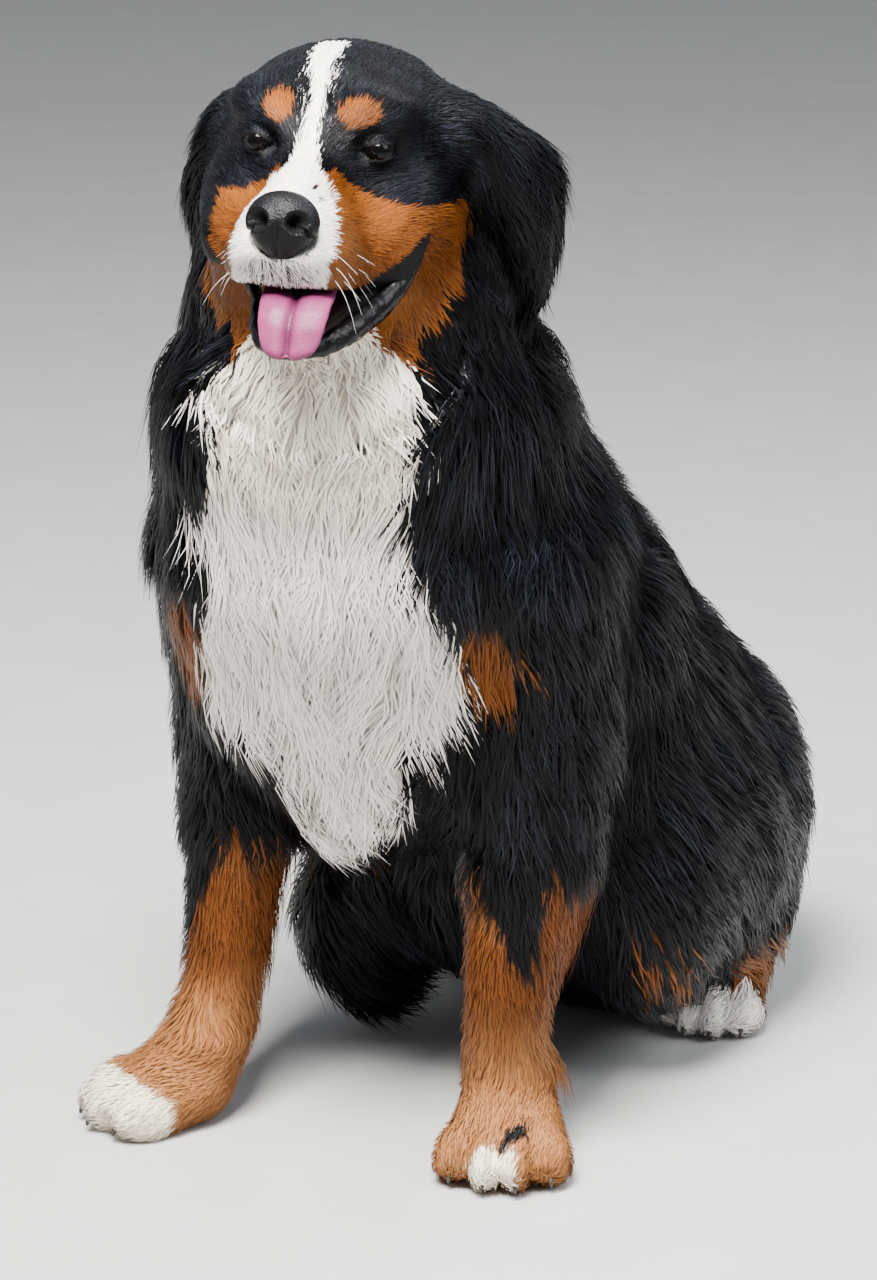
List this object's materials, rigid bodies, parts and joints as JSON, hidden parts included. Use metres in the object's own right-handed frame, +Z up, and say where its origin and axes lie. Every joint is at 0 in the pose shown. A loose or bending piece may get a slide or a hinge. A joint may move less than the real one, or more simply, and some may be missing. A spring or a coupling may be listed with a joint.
{
  "type": "sitting bernese mountain dog",
  "caption": "Life-size Bernese mountain dog sitting with its head up and its mouth open, long black coat with white blaze and bib and rust markings, tail laid round its haunch.",
  "frame": {"origin": "on the floor under the middle of the dog's bounding box, paws, haunches and tail included", "axes": "+Z up, -Y the way the hips and forelegs face, +X towards the dog's left; the chest is turned 15 degrees and the head about 21 degrees towards the dog's left"},
  "size_m": [0.5098, 0.8074, 0.8463],
  "materials": {
    "black_fur": "long soft black coat with a blue-grey sheen",
    "white_fur": "soft white coat",
    "rust_fur": "soft rust coat",
    "nose_leather": "moist black leather",
    "tongue_flesh": "wet pink",
    "eye_brown": "clear wet gloss over dark brown"
  },
  "bodies": {
    "root": {"head": "black_fur", "ear_left": "black_fur", "ear_right": "black_fur", "neck": "black_fur", "belly": "black_fur", "rump": "black_fur", "upper_arm_left": "black_fur", "upper_arm_right": "black_fur", "thigh_left": "black_fur", "thigh_right": "black_fur", "tail_root": "black_fur", "tail_tip": "black_fur", "chest": "white_fur", "lower_jaw": "white_fur", "front_paw_left": "white_fur", "front_paw_right": "white_fur", "hind_foot_left": "white_fur", "hind_foot_right": "white_fur", "forearm_left": "rust_fur", "forearm_right": "rust_fur", "nose": "nose_leather", "tongue": "tongue_flesh", "eye_left": "eye_brown", "eye_right": "eye_brown"}
  },
  "joints": []
}
